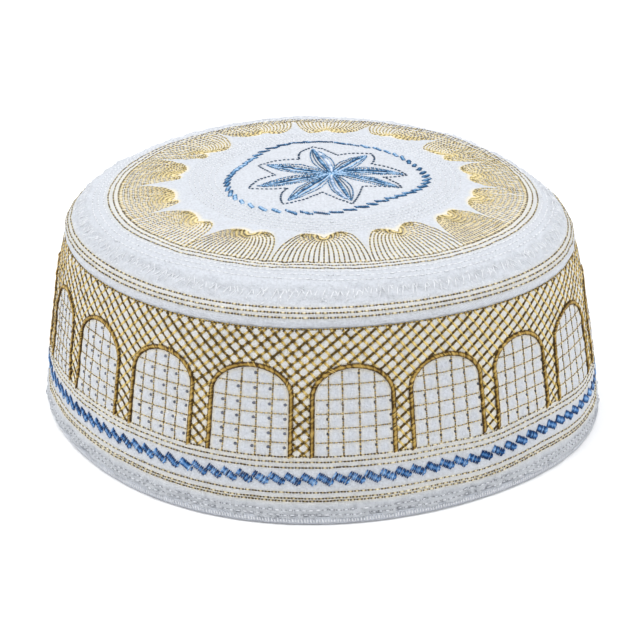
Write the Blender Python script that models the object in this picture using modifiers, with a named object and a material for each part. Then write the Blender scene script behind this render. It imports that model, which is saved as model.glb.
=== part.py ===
"""Round embroidered prayer cap, standing on its hem.

Three cloth pieces are modelled, in metres, +Z up, origin at the centre of the hem's underside:
the crown panel with its rounded rim, the side band below the seam, and the folded hem binding.
"""
import math

import bmesh
import bpy

# Driving dimensions, in millimetres until scaled by MM
MM = 0.001
SEGMENTS = 80            # steps around the cap
CLOTH = 2.0              # thickness of the quilted cloth
BINDING_CLOTH = 1.0      # thickness of the folded hem binding
GAP = 0.3                # clearance between neighbouring pieces
FORM_HEIGHT = 75.0       # height at which the crown's out-of-round values hold in full
ROUND_RADIUS = 80.0      # inside this radius the out-of-round fades towards the centre
CENTRE_SHIFT = (0.21, 0.76)    # x and y that bring the uneven outline's middle onto the origin

# Outer section of the crown panel, from its centre down to the seam: place, radius, height
CROWN_SECTION = (
    ("centre", 0.0, 80.2),
    ("flower", 16.0, 79.8),
    ("inner ring", 32.4, 78.9),
    ("shell tips", 48.7, 77.3),
    ("shell ribs", 62.0, 75.6),
    ("shell feet", 69.6, 74.4),
    ("shoulder", 76.2, 71.6),
    ("rim", 81.3, 67.7),
    ("under the rim", 83.4, 64.9),
    ("seam lip", 83.7, 62.9),
    ("seam", 83.4, 61.9),
)

# Outer section of the side band, from the seam down to its lower edge: place, radius, height
BAND_SECTION = (
    ("seam", 83.4, 61.55),
    ("seam lip", 84.1, 60.2),
    ("lattice top", 85.4, 55.0),
    ("arch tops", 86.9, 48.3),
    ("middle", 89.3, 35.0),
    ("arch feet", 91.4, 22.0),
    ("zigzag row", 92.1, 15.0),
    ("lower lines", 92.9, 7.8),
    ("edge", 93.6, 2.1),
)

# Folded hem binding: it lies inside the band and its fold shows below the band's edge
BINDING_INSET = 0.4      # how far the fold stands back from the band's outer face
BINDING_FOLD = 0.5       # chamfer of the fold's edges
BINDING_LIP = 1.35       # height of the fold below the band's edge
BINDING_TOP = 12.0       # height of the binding's upper edge inside the cap

# Out-of-round of the hand-made form: lobes around the cap, then the cosine and sine size
# at the hem and at the crown. One lobe is a shift, two an oval, three and more are corners.
# The hem's values hold in front and fade towards the back.
OUT_OF_ROUND = (
    (1, 0.00, 0.00, -1.40, -0.10),
    (2, -0.25, 0.10, 0.10, -0.70),
    (3, -0.80, 1.30, 0.00, -1.65),
    (4, 0.00, -2.45, 0.20, -0.60),
    (5, 0.65, -0.10, -0.30, -0.10),
)

CLOTH_COLOUR = (0.80, 0.83, 0.90, 1.0)
BINDING_COLOUR = (0.76, 0.79, 0.85, 1.0)


def clear_scene():
    """Remove every object that the file starts with."""
    for old in list(bpy.data.objects):
        bpy.data.objects.remove(old, do_unlink=True)


def cloth_material(name, colour, roughness):
    """A matt cloth material with a plain colour."""
    material = bpy.data.materials.new(name)
    material.use_nodes = True
    shader = material.node_tree.nodes["Principled BSDF"]
    shader.inputs["Base Color"].default_value = colour
    shader.inputs["Roughness"].default_value = roughness
    shader.inputs["Metallic"].default_value = 0.0
    return material


def stray(angle, height):
    """Distance in millimetres that the outline stands out of round at an angle and height."""
    crown_share = min(max(height / FORM_HEIGHT, 0.0), 1.0)
    hem_share = (1.0 - crown_share) * (0.5 - 0.5 * math.sin(angle))
    total = 0.0
    for lobes, hem_cos, hem_sin, crown_cos, crown_sin in OUT_OF_ROUND:
        cos_size = hem_cos * hem_share + crown_cos * crown_share
        sin_size = hem_sin * hem_share + crown_sin * crown_share
        total += cos_size * math.cos(lobes * angle) + sin_size * math.sin(lobes * angle)
    return total


def shape_by_hand(mesh):
    """Move each point of a turned mesh, in metres, from the round form to the cap's own."""
    for vertex in mesh.vertices:
        x, y, z = vertex.co
        radius = math.hypot(x, y)
        angle = math.atan2(y, x)
        fade = min(1.0, radius / (ROUND_RADIUS * MM))
        new_radius = radius + stray(angle, z / MM) * MM * fade
        vertex.co.x = new_radius * math.cos(angle) + CENTRE_SHIFT[0] * MM
        vertex.co.y = new_radius * math.sin(angle) + CENTRE_SHIFT[1] * MM


def turned_mesh(name, points, closed):
    """Turn a section of (radius, height) points, in millimetres, around the Z axis."""
    outline = bpy.data.meshes.new(name + "_section")
    edges = [(i, i + 1) for i in range(len(points) - 1)]
    if closed:
        edges.append((len(points) - 1, 0))
    outline.from_pydata([(radius * MM, 0.0, height * MM) for radius, height in points], edges, [])
    turned = bpy.data.objects.new(name + "_turned", outline)
    bpy.context.scene.collection.objects.link(turned)
    screw = turned.modifiers.new("turn", "SCREW")
    screw.axis = "Z"
    screw.angle = math.tau
    screw.steps = SEGMENTS
    screw.render_steps = SEGMENTS
    screw.use_merge_vertices = True
    screw.merge_threshold = 0.00005
    graph = bpy.context.evaluated_depsgraph_get()
    mesh = bpy.data.meshes.new_from_object(turned.evaluated_get(graph))
    mesh.name = name
    bpy.data.objects.remove(turned, do_unlink=True)
    shape_by_hand(mesh)
    return mesh


def add_piece(name, mesh, material, collection):
    """Put a mesh into the cap's collection as a named piece with smooth shading."""
    mesh.materials.clear()
    mesh.materials.append(material)
    mesh.shade_smooth()
    mesh.set_sharp_from_angle(angle=math.radians(50.0))
    piece = bpy.data.objects.new(name, mesh)
    collection.objects.link(piece)
    return piece


def thicken(piece, thickness):
    """Give an open cloth surface its thickness, on the inner side."""
    solidify = piece.modifiers.new("cloth", "SOLIDIFY")
    solidify.thickness = thickness * MM
    solidify.offset = -1.0
    solidify.use_even_offset = True
    solidify.use_rim = True


def make_crown_panel(material, collection):
    """The quilted round top, turned over the rim down to the seam."""
    points = [(radius, height) for place, radius, height in CROWN_SECTION]
    piece = add_piece("crown_panel", turned_mesh("crown_panel", points, False), material, collection)
    thicken(piece, CLOTH)
    return piece


def make_side_band(material, collection):
    """The quilted upright wall between the seam and its lower edge."""
    points = [(radius, height) for place, radius, height in BAND_SECTION]
    piece = add_piece("side_band", turned_mesh("side_band", points, False), material, collection)
    thicken(piece, CLOTH)
    return piece


def band_radius(height):
    """Outer radius of the side band at a height, in millimetres."""
    rows = [(radius, level) for place, radius, level in BAND_SECTION]
    for (radius_a, level_a), (radius_b, level_b) in zip(rows, rows[1:]):
        if level_b <= height <= level_a:
            share = (level_a - height) / (level_a - level_b)
            return radius_a + share * (radius_b - radius_a)
    return rows[-1][0]


def make_hem_binding(material, collection):
    """The folded strip inside the band, whose fold carries the cap and shows below the band."""
    edge_radius = BAND_SECTION[-1][1]
    fold_radius = edge_radius - BINDING_INSET
    inside = CLOTH + GAP
    middle = 0.5 * (BINDING_LIP + BINDING_TOP)
    foot = edge_radius - inside
    points = (
        (fold_radius, BINDING_LIP),
        (fold_radius, BINDING_FOLD),
        (fold_radius - BINDING_FOLD, 0.0),
        (foot - BINDING_CLOTH + BINDING_FOLD, 0.0),
        (foot - BINDING_CLOTH, BINDING_FOLD),
        (band_radius(middle) - inside - BINDING_CLOTH, middle),
        (band_radius(BINDING_TOP) - inside - BINDING_CLOTH, BINDING_TOP),
        (band_radius(BINDING_TOP) - inside, BINDING_TOP),
        (band_radius(middle) - inside, middle),
        (foot - GAP, BINDING_LIP),
    )
    mesh = turned_mesh("hem_binding", points, True)
    return add_piece("hem_binding", mesh, material, collection)


def face_outward(pieces):
    """Point every face of the pieces' own meshes outward from the cloth."""
    for piece in pieces:
        work = bmesh.new()
        work.from_mesh(piece.data)
        bmesh.ops.recalc_face_normals(work, faces=work.faces)
        work.to_mesh(piece.data)
        work.free()


def main():
    clear_scene()
    collection = bpy.data.collections.new("prayer_cap")
    bpy.context.scene.collection.children.link(collection)
    quilt = cloth_material("quilted_cloth", CLOTH_COLOUR, 0.85)
    binding = cloth_material("binding_cloth", BINDING_COLOUR, 0.9)
    make_crown_panel(quilt, collection)
    make_side_band(quilt, collection)
    face_outward([make_hem_binding(binding, collection)])


main()
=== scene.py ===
"""Looks of the round embroidered prayer cap: cloth, thread, floor, light and camera.

Lengths are in millimetres until a mesh is made. A place on the cap is an angle in degrees,
from the front (-Y) towards the right (+X), and a length down the section of its cloth: from
the centre on the crown, and from the seam on the side band. The crown's patterns are drawn in
plan, and a line of any pattern is a pair: all its first coordinates, and all its second ones.
"""
import math

import bpy
import numpy as np
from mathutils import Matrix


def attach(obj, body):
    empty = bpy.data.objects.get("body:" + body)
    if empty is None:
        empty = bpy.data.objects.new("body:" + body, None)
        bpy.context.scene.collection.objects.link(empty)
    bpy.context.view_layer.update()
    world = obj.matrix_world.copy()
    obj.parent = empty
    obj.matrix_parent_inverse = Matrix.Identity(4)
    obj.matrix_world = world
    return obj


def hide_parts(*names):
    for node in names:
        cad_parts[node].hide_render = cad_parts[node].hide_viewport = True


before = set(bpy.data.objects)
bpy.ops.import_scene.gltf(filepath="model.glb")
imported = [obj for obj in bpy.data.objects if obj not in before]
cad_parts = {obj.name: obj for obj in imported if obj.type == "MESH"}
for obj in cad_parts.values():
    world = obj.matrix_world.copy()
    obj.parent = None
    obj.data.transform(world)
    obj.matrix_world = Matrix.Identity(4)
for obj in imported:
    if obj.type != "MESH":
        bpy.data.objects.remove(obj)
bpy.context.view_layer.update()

MM = 0.001
SEED = 7
random = np.random.default_rng(SEED)

# The cap's form, as the solids have it
CLOTH = 2.0
CENTRE_SHIFT = (0.21, 0.76)
FORM_HEIGHT = 75.0
ROUND_RADIUS = 80.0

# Outer section of the crown from its centre to the seam: radius, height
CROWN_SECTION = (
    (0.0, 80.2),
    (16.0, 79.8),
    (32.4, 78.9),
    (48.7, 77.3),
    (62.0, 75.6),
    (69.6, 74.4),
    (76.2, 71.6),
    (81.3, 67.7),
    (83.4, 64.9),
    (83.7, 62.9),
    (83.4, 61.9),
)

# Outer section of the side band from the seam to its lower edge: radius, height
BAND_SECTION = (
    (83.4, 61.55),
    (84.1, 60.2),
    (85.4, 55.0),
    (86.9, 48.3),
    (89.3, 35.0),
    (91.4, 22.0),
    (92.1, 15.0),
    (92.9, 7.8),
    (93.6, 2.1),
)

# Outer section of the hem's fold, then the whole closed strip: radius, height
HEM_FOLD = ((93.5, 2.3), (93.55, 1.3), (93.3, 0.35))
HEM_SECTION = (
    (93.35, 2.6),
    (93.52, 1.8),
    (93.54, 1.0),
    (93.4, 0.35),
    (93.0, 0.0),
    (90.9, 0.0),
    (90.4, 0.4),
    (90.2, 2.0),
    (89.6, 6.5),
    (89.0, 11.4),
    (89.3, 11.9),
    (89.8, 11.4),
    (90.4, 6.5),
    (91.1, 2.4),
)
HEM_RADIUS = HEM_SECTION[0][0]
SEAM_REACH = 0.15          # how far each cloth reaches into the seam beyond its solid

# Out-of-round of the form: lobes, cosine and sine size at the hem, then at the crown
OUT_OF_ROUND = (
    (1, 0.00, 0.00, -1.40, -0.10),
    (2, -0.25, 0.10, 0.10, -0.70),
    (3, -0.80, 1.30, 0.00, -1.65),
    (4, 0.00, -2.45, 0.20, -0.60),
    (5, 0.65, -0.10, -0.30, -0.10),
)

# How the cloth gives under the thread, and how rough it is elsewhere
DIP, DIP_SPREAD = 0.26, 0.55           # narrow dip under a stitch
SWELL, SWELL_SPREAD = 0.30, 2.2        # soft swelling between the stitches
ROUGHNESS = ((0.42, 0.075), (1.3, 0.07))     # spread and height of the unevenness
ROUGH_GAIN = 2.2                       # more of it in the strips below
ROUGH_STRIP_CROWN = (75.0, 83.0)
ROUGH_STRIP_BAND = (55.5, 62.0)
GLOW_SPREAD, GLOW_GAIN, GLOW_POWER = 0.8, 0.95, 1.5     # gold light on the cloth beside gold

# Short creases across the plain strip at the crown's seam: angle, width, depth
CREASE_START = 85.2
STRIP_CREASES = (
    (-38.0, 0.55, 0.30),
    (-32.0, 0.50, 0.34),
    (-25.0, 0.60, 0.16),
    (-19.3, 0.50, 0.28),
    (-15.0, 0.45, 0.22),
    (24.0, 0.70, 0.14),
    (41.0, 0.60, 0.16),
    (118.0, 0.60, 0.25),
    (165.0, 0.55, 0.22),
    (214.0, 0.60, 0.28),
    (258.0, 0.55, 0.2),
)

# Arches of the side band that the front shows: angles of the left and right leg
FRONT_ARCHES = (
    (-79.5, -66.5),
    (-62.2, -46.9),
    (-42.1, -27.1),
    (-22.8, -6.3),
    (-2.1, 14.5),
    (18.3, 34.3),
    (37.9, 52.1),
    (56.4, 71.4),
)
BACK_ARCHES = 10
BACK_COLUMN = 5.1          # degrees between two arches at the back
ARCH_TOP = 12.0            # length down the band of an arch's top
ARCH_SPRING = 21.5         # where the round top meets the legs
ARCH_FOOT = 40.4           # foot of the legs, on the first gold row
GRID_SHARES = (0.19, 0.375, 0.58, 0.77)
GRID_ROWS = (17.6, 22.3, 26.8, 31.4, 35.9)
EYELET_SHIFT = -0.53       # degrees from an upright line of the grid to its needle eyes
EYELET_SHIFTS = {4: -0.13, 5: -0.13, 6: -0.03, 7: -0.03}     # in arches that differ

LATTICE_COLUMNS = 137
LATTICE_ROW = 3.68         # length down the band from crossing to crossing
LATTICE_WAVE = 17.0        # how far the rows rise and sink on their way around the cap
LATTICE_SLOPE = 0.2        # lean of the columns where they lean most
LATTICE_TURN = 25.0        # degrees by which the lattice's wave is turned from the front
LATTICE_PIVOT = 14.0       # length down the band at which the lean moves nothing
LATTICE_MARGIN = 0.5       # space between the lattice and the middle of an arch's cord
LATTICE_OVERLAP = 0.07     # share of a stitch by which it reaches past its crossing

ROW_PITCH = 2.15           # from stitch to stitch in the rows and rings
GOLD_ROWS = (40.4, 42.1, 43.9, 52.0, 53.9, 54.8)
WHITE_ROWS = (57.7, 59.3)
RIM_ROWS = (83.9, 85.45, 87.0)     # gold rows on the crown's rim
EDGING_ROW = 0.35          # gold row beside the seam

# Lower rows around the front: angle and drop, then angle and tone of their gold, a painted sheen
ROW_DROPS = (
    (-90, 0.0), (-60, -0.25), (-45, -0.35), (-22, 0.0), (10, 0.0),
    (24, -0.1), (35, 0.6), (50, -0.6), (68, 0.5), (90, 0.0),
)
ROW_SHEEN_TONES = ((-90, 0.5), (-50, 0.53), (-30, 0.39), (0, 0.36), (20, 0.53), (47, 0.43), (90, 0.48))

STRANDS = 8                # stitches in a block of the zigzag row or the blue ring
ZIGZAG_ROW = 47.6
ZIGZAG_BLOCKS = 116
ZIGZAG_START = -30.7       # angle of one of the blocks
ZIGZAG_SIZE = (3.9, 2.3)   # width and height of a block's middle line
ZIGZAG_REACH = (0.78, -1.30)     # from that line to the end of a stitch

# Shells of the crown, about the middle of the pattern: angles of the two ends of the base, then
# angle and reach of the notch, of the lobe before it and of the lobe after it
PATTERN_MIDDLE = (0.66, 2.3)
SHELLS = (
    (-130.4, -106.1, -117.3, 50.6, -119.0, 49.8, -112.9, 48.6),
    (-104.7, -76.9, -90.0, 48.7, -92.6, 46.5, -85.0, 45.8),
    (-75.7, -48.5, -61.8, 48.8, -64.4, 45.8, -56.8, 45.5),
    (-47.5, -29.3, -36.9, 49.4, -38.5, 48.0, -34.5, 48.2),
    (-28.3, -3.6, -15.0, 50.6, -17.8, 50.0, -12.3, 49.5),
    (-2.6, 21.6, 7.6, 49.4, 4.8, 48.6, 10.6, 47.3),
    (22.7, 47.0, 32.0, 48.0, 29.4, 46.2, 35.2, 45.1),
    (48.5, 73.8, 62.6, 50.0, 60.0, 48.2, 64.6, 48.1),
    (75.0, 99.0, 89.0, 49.2, 86.5, 45.8, 91.3, 45.9),
    (101.2, 125.9, 114.3, 50.6, 112.4, 47.8, 117.3, 49.2),
    (127.6, 156.1, 147.8, 47.6, 144.8, 43.9, 151.0, 44.7),
    (157.3, 180.4, 174.6, 49.0, 172.4, 46.9, 177.0, 47.2),
    (181.4, 203.3, 198.3, 51.6, 195.6, 49.9, 200.5, 50.1),
    (204.2, 229.1, 220.8, 52.6, 217.8, 50.6, 223.4, 50.7),
)
SHELL_SHARES = np.linspace(-1.0, 1.0, 20)
LOBE_SHARES = (-0.97, -0.92, -0.87, -0.81, 0.81, 0.87, 0.92, 0.97)
LOBE_START = 0.62          # share of a shell's line from which the lobes are closer stitched

# Rings of the crown in plan
GOLD_RING_MIDDLE = (0.3, -0.2)
GOLD_RING_STEPS = (0.0, -1.75, -3.4)
OUTER_WHITE_STEPS = (1.5, 3.3, 5.2)
WHITE_RING_MIDDLE = (1.0, 2.0)
WHITE_RINGS = (36.4, 38.4, 40.0, 41.6, 43.2, 44.8)
SHOULDER_STROKES = 190     # strokes of the white zigzag on the shoulder
SHOULDER_SCATTER = 380     # short stitches scattered between them
HEM_RIBS = 640             # upright stitches around the hem's fold

# Petals of the flower: tip of the outline, swell of its side before the tip, next notch, swell
# of the side after the tip
FLOWER_MIDDLE = (3.2, 1.2)
PETALS = (
    (-3.0, 28.5, 4.1, 5.2, 19.0, 1.6),
    (16.5, 22.3, 2.7, 16.2, 10.8, 2.5),
    (28.2, 3.0, 3.5, 20.0, -0.2, 1.4),
    (26.2, -8.9, 1.9, 13.2, -8.9, -1.2),
    (9.8, -23.0, 0.8, -0.2, -14.5, 0.2),
    (-12.7, -23.9, 2.4, -11.2, -10.5, 2.8),
    (-23.9, -10.4, 1.0, -15.2, 0.8, 4.0),
    (-21.2, 10.0, 0.7, -7.5, 15.3, 4.1),
)

# Leaves in the petals: tip, swell of the left and the right edge, of the dark and the pale vein
LEAVES = (
    (-3.3, 26.3, 6.2, -7.0, 0.6, -3.6),
    (15.0, 20.5, 6.8, -5.8, 1.1, -3.0),
    (27.0, 3.4, 11.6, -0.6, 6.4, 2.6),
    (25.4, -8.7, 6.8, -2.7, 4.1, 1.0),
    (9.4, -20.4, 6.3, -7.2, 0.4, -4.2),
    (-11.0, -21.0, 6.1, -6.4, -1.4, 2.6),
    (-21.4, -8.4, 5.2, -7.0, -1.3, 2.4),
    (-18.5, 11.0, 6.8, -8.4, -0.9, 3.4),
)
WIDE_LEAVES = (0, 4)       # leaves with a wide pale half
SPOKES = 14                # stitches of the flower's heart

# The blue ring about its middle: plain radius, then waves around it with cosine and sine size
BLUE_RING_MIDDLE = (0.6, 1.8)
BLUE_RING_RADIUS = 31.94
BLUE_RING_WAVES = (
    (1, -0.09, -0.21),
    (2, -0.04, 1.33),
    (3, 1.47, -0.91),
    (4, 0.42, 0.30),
    (5, -0.02, -0.42),
    (6, 0.20, -0.34),
)

# The blue blocks around the ring: turn from the right towards the back, tone, lean off the ring
BLUE_RING_BLOCKS = 50
BLUE_RING_TONES = (
    (0, 0.24, 33),
    (20, 0.22, 28),
    (40, 0.52, 20),
    (65, 0.48, 12),
    (85, 0.24, 9),
    (115, 0.20, 10),
    (140, 0.46, 11),
    (160, 0.60, 16),
    (180, 0.45, 30),
    (195, 0.30, 33),
    (220, 0.60, 26),
    (248, 0.55, 16),
    (258, 0.32, 13),
    (270, 0.26, 10),
    (300, 0.28, 20),
    (318, 0.40, 36),
    (335, 0.46, 40),
    (350, 0.26, 36),
    (360, 0.24, 33),
)

# Cross-sections of a stitch along its length: share of the length, width, thickness, lift
DASH = ((0.0, 0.0, 0.0, -0.9), (0.08, 0.95, 0.9, 0.25), (0.92, 0.95, 0.9, 0.25), (1.0, 0.0, 0.0, -0.9))
BOWED = (
    (0.0, 0.0, 0.0, -1.1),
    (0.13, 0.8, 0.85, 0.1),
    (0.5, 1.0, 1.0, 0.8),
    (0.87, 0.8, 0.85, 0.1),
    (1.0, 0.0, 0.0, -1.1),
)
SIDES = 5                  # corners of a stitch's cross-section
TONE_SPREAD = 0.06         # how much the tone differs from stitch to stitch in every run

# Kinds of stitch: cross-sections, whether its ends are given in plan, half width, half height,
# rise of its middle, how much thread it presses into the cloth, unevenness of the tone, and the
# tone to which a run's own shades are added
STITCHES = {
    "lattice": (DASH, False, 0.46, 0.28, 0.0, 1.0, 0.05, 0.45),
    "arch cord": (BOWED, False, 0.25, 0.28, 0.3, 0.3, 0.1, 0.44),
    "upright grid": (DASH, False, 0.27, 0.2, 0.0, 1.0, 0.0, 0.44),
    "level grid": (DASH, False, 0.22, 0.2, 0.0, 1.0, 0.0, 0.52),
    "gold row": (DASH, False, 0.29, 0.2, 0.0, 1.0, 0.0, 0.0),
    "edging": (DASH, False, 0.26, 0.24, 0.0, 1.0, 0.0, 0.5),
    "zigzag": (BOWED, False, 0.29, 0.25, 0.1, 0.4, 0.09, 0.42),
    "white row": (DASH, False, 0.24, 0.16, 0.0, 1.6, 0.0, 0.5),
    "wide eyelet": (BOWED, False, 0.58, 0.12, 0.0, 0.8, 0.0, 0.62),
    "eyelet": (BOWED, False, 0.42, 0.12, 0.0, 0.8, 0.0, 0.42),
    "shell": (DASH, True, 0.26, 0.22, 0.0, 1.0, 0.0, 0.53),
    "shell lobe": (DASH, True, 0.19, 0.16, 0.0, 1.0, 0.14, 0.38),
    "gold ring": (DASH, True, 0.28, 0.2, 0.0, 1.0, 0.0, 0.44),
    "rim row": (DASH, False, 0.3, 0.21, 0.0, 1.0, 0.0, 0.44),
    "vein": (BOWED, True, 0.25, 0.22, 0.12, 0.4, 0.13, 0.0),
    "spoke": (BOWED, True, 0.3, 0.24, 0.2, 0.2, 0.14, 0.5),
    "blue ring": (BOWED, True, 0.27, 0.22, 0.06, 0.4, 0.0, 0.0),
    "leaf edge": (DASH, True, 0.26, 0.22, 0.06, 1.0, 0.12, 0.46),
    "inner leaf": (DASH, True, 0.24, 0.2, 0.12, 1.0, 0.0, 0.36),
    "petal": (DASH, True, 0.43, 0.24, 0.0, 1.0, 0.0, 0.2),
    "white ring": (DASH, True, 0.2, 0.15, 0.0, 1.0, 0.0, 0.72),
    "shoulder": (BOWED, False, 0.15, 0.14, 0.0, 0.8, 0.0, 0.82),
    "hem rib": (BOWED, False, 0.24, 0.11, 0.0, 1.0, 0.0, 0.66),
}

# Threads: name, painted shade where it dives in, middle, painted highlight on its back, roughness,
# metallic
THREADS = (
    ("gold_thread", (0.09, 0.055, 0.014), (0.42, 0.295, 0.10), (0.84, 0.70, 0.38), 0.45, 0.05),
    ("gold_net_thread", (0.095, 0.056, 0.009), (0.37, 0.24, 0.05), (0.82, 0.63, 0.24), 0.42, 0.05),
    ("gold_cord", (0.08, 0.04, 0.007), (0.36, 0.22, 0.042), (0.72, 0.52, 0.17), 0.36, 0.1),
    ("pale_gold_thread", (0.070, 0.044, 0.010), (0.68, 0.53, 0.215), (0.95, 0.83, 0.49), 0.45, 0.0),
    ("cream_gold_thread", (0.075, 0.045, 0.013), (0.60, 0.50, 0.27), (0.96, 0.90, 0.72), 0.5, 0.0),
    ("blue_thread", (0.010, 0.05, 0.17), (0.045, 0.20, 0.51), (0.42, 0.64, 0.92), 0.38, 0.0),
    ("sky_blue_thread", (0.025, 0.11, 0.25), (0.11, 0.305, 0.555), (0.54, 0.73, 0.94), 0.4, 0.0),
    ("pale_blue_thread", (0.22, 0.38, 0.60), (0.62, 0.70, 0.85), (0.84, 0.88, 0.97), 0.45, 0.0),
    ("dark_blue_thread", (0.028, 0.075, 0.15), (0.09, 0.24, 0.42), (0.26, 0.46, 0.66), 0.5, 0.0),
    ("white_thread", (0.36, 0.375, 0.41), (0.70, 0.72, 0.77), (0.90, 0.915, 0.95), 0.5, 0.0),
    ("eyelet_shadow", (0.035, 0.04, 0.055), (0.075, 0.085, 0.11), (0.21, 0.23, 0.29), 0.8, 0.0),
)
WARM_CLOTH = (0.965, 0.92, 0.81)     # white cloth in the glow of the gold thread beside it


# Small helpers


def from_front(angle):
    """The same angle in degrees, within half a turn of the front."""
    return (angle + 180.0) % 360.0 - 180.0


def running_length(gaps):
    """Length at each point of a line, from the gaps between its points."""
    return np.concatenate([[0.0], np.cumsum(gaps)])


def unit(vectors):
    return vectors / np.maximum(np.linalg.norm(vectors, axis=-1, keepdims=True), 1e-9)


def heading(turn):
    """Flat unit vectors at mathematical angles in radians."""
    return np.stack([np.cos(turn), np.sin(turn)], axis=-1)


def left_of(way):
    return np.stack([-way[..., 1], way[..., 0]], axis=-1)


def ramp(value, start, width):
    """0 up to a start, 1 from a width past it on; it falls where value and start are negated."""
    return np.clip((value - start) / width, 0.0, 1.0)


def monotone(knots, values, at):
    """A smooth curve through values at the knots that doesn't overshoot between them."""
    widths = np.diff(knots)
    slopes = np.diff(values) / widths
    left, right = slopes[:-1], slopes[1:]
    near, far = 2 * widths[1:] + widths[:-1], widths[1:] + 2 * widths[:-1]
    turning = left * right <= 0
    safe_left, safe_right = np.where(turning, 1.0, left), np.where(turning, 1.0, right)
    inner = np.where(turning, 0.0, (near + far) / (near / safe_left + far / safe_right))
    tangents = np.concatenate([slopes[:1], inner, slopes[-1:]])
    i = np.clip(np.searchsorted(knots, at, side="right") - 1, 0, len(widths) - 1)
    h = widths[i]
    t = (at - knots[i]) / h
    return (
        values[i] * (1 + 2 * t) * (1 - t) ** 2
        + tangents[i] * h * t * (1 - t) ** 2
        + values[i + 1] * t * t * (3 - 2 * t)
        + tangents[i + 1] * h * t * t * (t - 1)
    )


def between_cells(picture, rows, columns):
    """Values of a map between its cells; the last column is followed by the first."""
    row = np.clip(np.floor(rows).astype(int), 0, picture.shape[0] - 2)
    column = np.floor(columns).astype(int)
    v, u = np.clip(rows - row, 0.0, 1.0), columns - column
    left, right = column % picture.shape[1], (column + 1) % picture.shape[1]
    upper = picture[row, left] * (1 - u) + picture[row, right] * u
    lower = picture[row + 1, left] * (1 - u) + picture[row + 1, right] * u
    return upper * (1 - v) + lower * v


# The cloth and its relief


def stray(theta, height):
    """How far the outline stands out of round, at a mathematical angle in radians."""
    crown_share = np.clip(height / FORM_HEIGHT, 0.0, 1.0)
    hem_share = (1.0 - crown_share) * (0.5 - 0.5 * np.sin(theta))
    total = 0.0
    for lobes, hem_cos, hem_sin, crown_cos, crown_sin in OUT_OF_ROUND:
        total = total + (hem_cos * hem_share + crown_cos * crown_share) * np.cos(lobes * theta)
        total = total + (hem_sin * hem_share + crown_sin * crown_share) * np.sin(lobes * theta)
    return total


def place(radius, height, theta):
    """Points of the cap's own form from those of the round one."""
    reach = radius + stray(theta, height) * np.minimum(1.0, radius / ROUND_RADIUS)
    x = reach * np.cos(theta) + CENTRE_SHIFT[0]
    y = reach * np.sin(theta) + CENTRE_SHIFT[1]
    return np.stack(np.broadcast_arrays(x, y, height + 0.0 * theta), axis=-1)


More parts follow.
